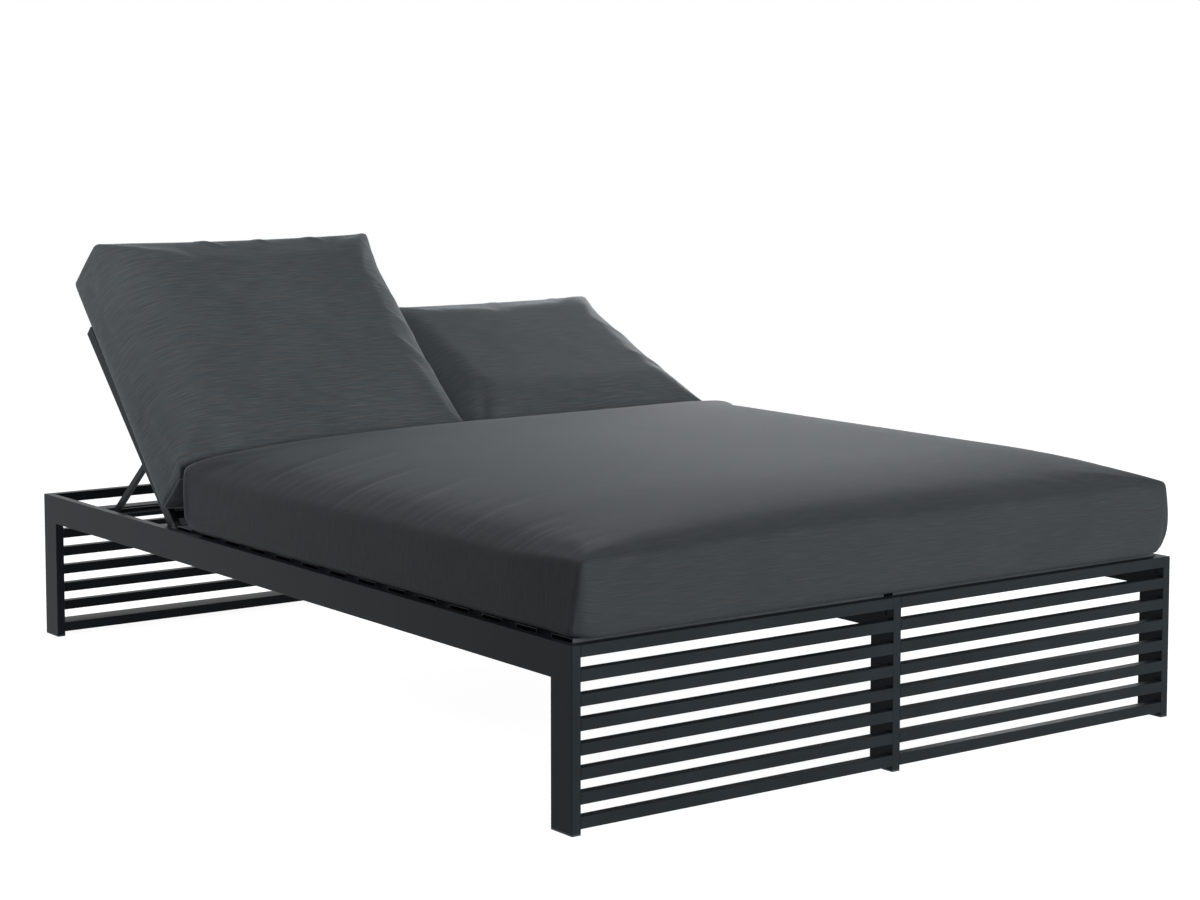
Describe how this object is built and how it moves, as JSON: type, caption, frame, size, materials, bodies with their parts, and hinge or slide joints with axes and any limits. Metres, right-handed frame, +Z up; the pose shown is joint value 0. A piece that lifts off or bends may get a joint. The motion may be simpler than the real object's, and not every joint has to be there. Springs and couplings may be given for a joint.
{
  "type": "double chaise lounger",
  "caption": "Low two-person sun lounger: slatted-end metal platform, wide box mattress and separate reclining back rests with thick cushions on notched stays.",
  "frame": {"origin": "on the ground under the middle of the frame", "axes": "+X to the right seen from the foot end, +Y from the foot end to the head end, +Z up"},
  "size_m": [1.4, 2, 0.8664],
  "materials": {
    "frame_coat": "fine satin powder coat, anthracite",
    "slat_coat": "fine satin powder coat, anthracite",
    "dark_plastic": "moulded, matt",
    "steel_fixings": "stainless, brushed",
    "cushion_cover": "heathered outdoor weave, blue-grey"
  },
  "bodies": {
    "base": {"left_rail": "frame_coat", "centre_rail": "frame_coat", "right_rail": "frame_coat", "left_foot_leg": "frame_coat", "centre_foot_leg": "frame_coat", "right_foot_leg": "frame_coat", "left_head_leg": "frame_coat", "centre_head_leg": "frame_coat", "right_head_leg": "frame_coat", "foot_caps": "dark_plastic", "foot_top_bars": "frame_coat", "foot_slats_left": "frame_coat", "foot_slats_right": "frame_coat", "foot_bottom_bars": "frame_coat", "head_top_bars": "frame_coat", "head_slats_left": "frame_coat", "head_slats_right": "frame_coat", "head_bottom_bars": "frame_coat", "left_deck_ledges": "frame_coat", "right_deck_ledges": "frame_coat", "left_deck_battens": "slat_coat", "right_deck_battens": "slat_coat", "left_cross_beams": "frame_coat", "right_cross_beams": "frame_coat", "left_rack_plates": "frame_coat", "right_rack_plates": "frame_coat", "left_pivot_bolts": "steel_fixings", "right_pivot_bolts": "steel_fixings", "mattress": "cushion_cover"},
    "left_backrest": {"left_back_outer_bar": "frame_coat", "left_back_inner_bar": "frame_coat", "left_back_top_bar": "frame_coat", "left_back_bottom_bar": "frame_coat", "left_back_slats": "slat_coat", "left_back_lugs": "dark_plastic", "left_pivot_washers": "steel_fixings", "left_stay_bolts": "steel_fixings", "left_stay_washers": "steel_fixings"},
    "left_stay": {"left_stay_outer_leg": "frame_coat", "left_stay_inner_leg": "frame_coat", "left_stay_rod": "frame_coat"},
    "right_backrest": {"right_back_outer_bar": "frame_coat", "right_back_inner_bar": "frame_coat", "right_back_top_bar": "frame_coat", "right_back_bottom_bar": "frame_coat", "right_back_slats": "slat_coat", "right_back_lugs": "dark_plastic", "right_pivot_washers": "steel_fixings", "right_stay_bolts": "steel_fixings", "right_stay_washers": "steel_fixings"},
    "right_stay": {"right_stay_outer_leg": "frame_coat", "right_stay_inner_leg": "frame_coat", "right_stay_rod": "frame_coat"},
    "left_cushion": {"left_back_cushion": "cushion_cover"},
    "right_cushion": {"right_back_cushion": "cushion_cover"}
  },
  "joints": [
    {"name": "left_recline", "type": "hinge", "parent": "base", "child": "left_backrest", "pos_m": [-0.3455, 0.424, 0.3], "axis": [1, 0, 0], "range_deg": [-45, 7.6]},
    {"name": "left_stay_fold", "type": "hinge", "parent": "left_backrest", "child": "left_stay", "pos_m": [-0.3455, 0.56118, 0.43718], "axis": [1, 0, 0], "range_deg": [-14.4, 84.3]},
    {"name": "right_recline", "type": "hinge", "parent": "base", "child": "right_backrest", "pos_m": [0.3455, 0.424, 0.3], "axis": [1, 0, 0], "range_deg": [-25, 27.6]},
    {"name": "right_stay_fold", "type": "hinge", "parent": "right_backrest", "child": "right_stay", "pos_m": [0.3455, 0.59982, 0.38199], "axis": [1, 0, 0], "range_deg": [-51.7, 46.8]},
    {"name": "left_cushion_slide", "type": "slide", "parent": "left_backrest", "child": "left_cushion", "axis": [0, 0.7071, 0.7071], "range_m": [-0.113, 0.0195]},
    {"name": "right_cushion_slide", "type": "slide", "parent": "right_backrest", "child": "right_cushion", "axis": [0, 0.9063, 0.4226], "range_m": [-0.063, 0.0695]}
  ],
  "couplings": [
    {"joint": "left_stay_fold", "follows": "left_recline", "ratio": -1.868},
    {"joint": "right_stay_fold", "follows": "right_recline", "ratio": -1.866},
    {"joint": "left_cushion_slide", "follows": "left_recline", "m_per_rad": 0.14324},
    {"joint": "right_cushion_slide", "follows": "right_recline", "m_per_rad": 0.14324}
  ]
}
